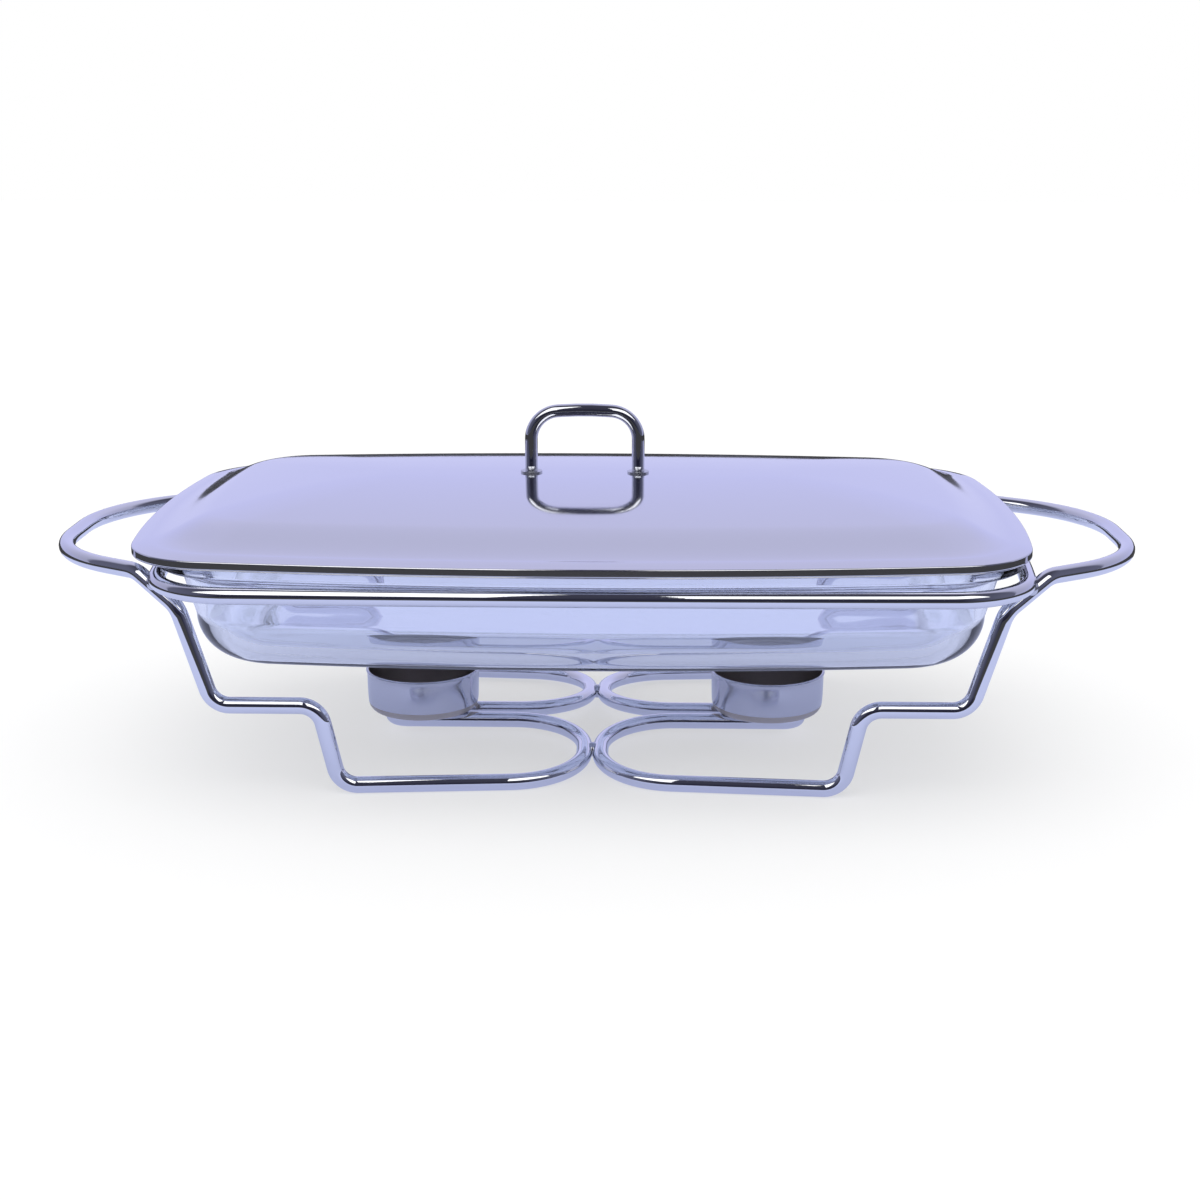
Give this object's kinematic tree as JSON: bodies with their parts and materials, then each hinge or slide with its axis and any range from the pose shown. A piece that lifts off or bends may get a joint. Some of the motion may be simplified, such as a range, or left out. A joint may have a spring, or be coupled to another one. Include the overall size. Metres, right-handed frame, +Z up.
{
  "type": "chafing dish",
  "caption": "Tabletop food warmer: oblong clear glass dish under a loose polished metal lid, hung in a bent chromed wire stand with candle cups.",
  "frame": {"origin": "on the table, under the centre of the ring", "axes": "+X to the right along the dish, +Y to the back, +Z up"},
  "size_m": [0.4436, 0.2126, 0.1421],
  "materials": {
    "chromed_wire": "bright chromium plating on steel wire",
    "weld_metal": "small weld beads under the same plating, slightly duller",
    "pressed_cup": "plated pressed sheet steel",
    "clear_glass": "clear smooth oven glass",
    "polished_lid": "mirror polished stainless sheet",
    "handle_rod": "polished stainless rod",
    "washer_steel": "satin stainless"
  },
  "bodies": {
    "stand": {"top_ring": "chromed_wire", "right_end_wire": "chromed_wire", "left_end_wire": "chromed_wire", "ring_weld_front_right": "weld_metal", "ring_weld_front_left": "weld_metal", "ring_weld_back_right": "weld_metal", "ring_weld_back_left": "weld_metal", "loop_weld_front": "weld_metal", "loop_weld_back": "weld_metal", "right_candle_cup": "pressed_cup", "left_candle_cup": "pressed_cup", "right_cup_weld": "weld_metal", "left_cup_weld": "weld_metal"},
    "dish": {"glass_dish": "clear_glass"},
    "lid": {"lid_shell": "polished_lid", "lid_handle": "handle_rod", "outer_washer_left": "washer_steel", "inner_washer_left": "washer_steel", "outer_washer_right": "washer_steel", "inner_washer_right": "washer_steel", "handle_screw_left": "washer_steel", "handle_screw_right": "washer_steel"}
  },
  "joints": [
    {"name": "dish_lift", "type": "slide", "parent": "stand", "child": "dish", "axis": [0, 0, 1], "range_m": [0, 0.1]},
    {"name": "lid_lift", "type": "slide", "parent": "dish", "child": "lid", "axis": [0, 0, 1], "range_m": [0, 0.1]}
  ]
}
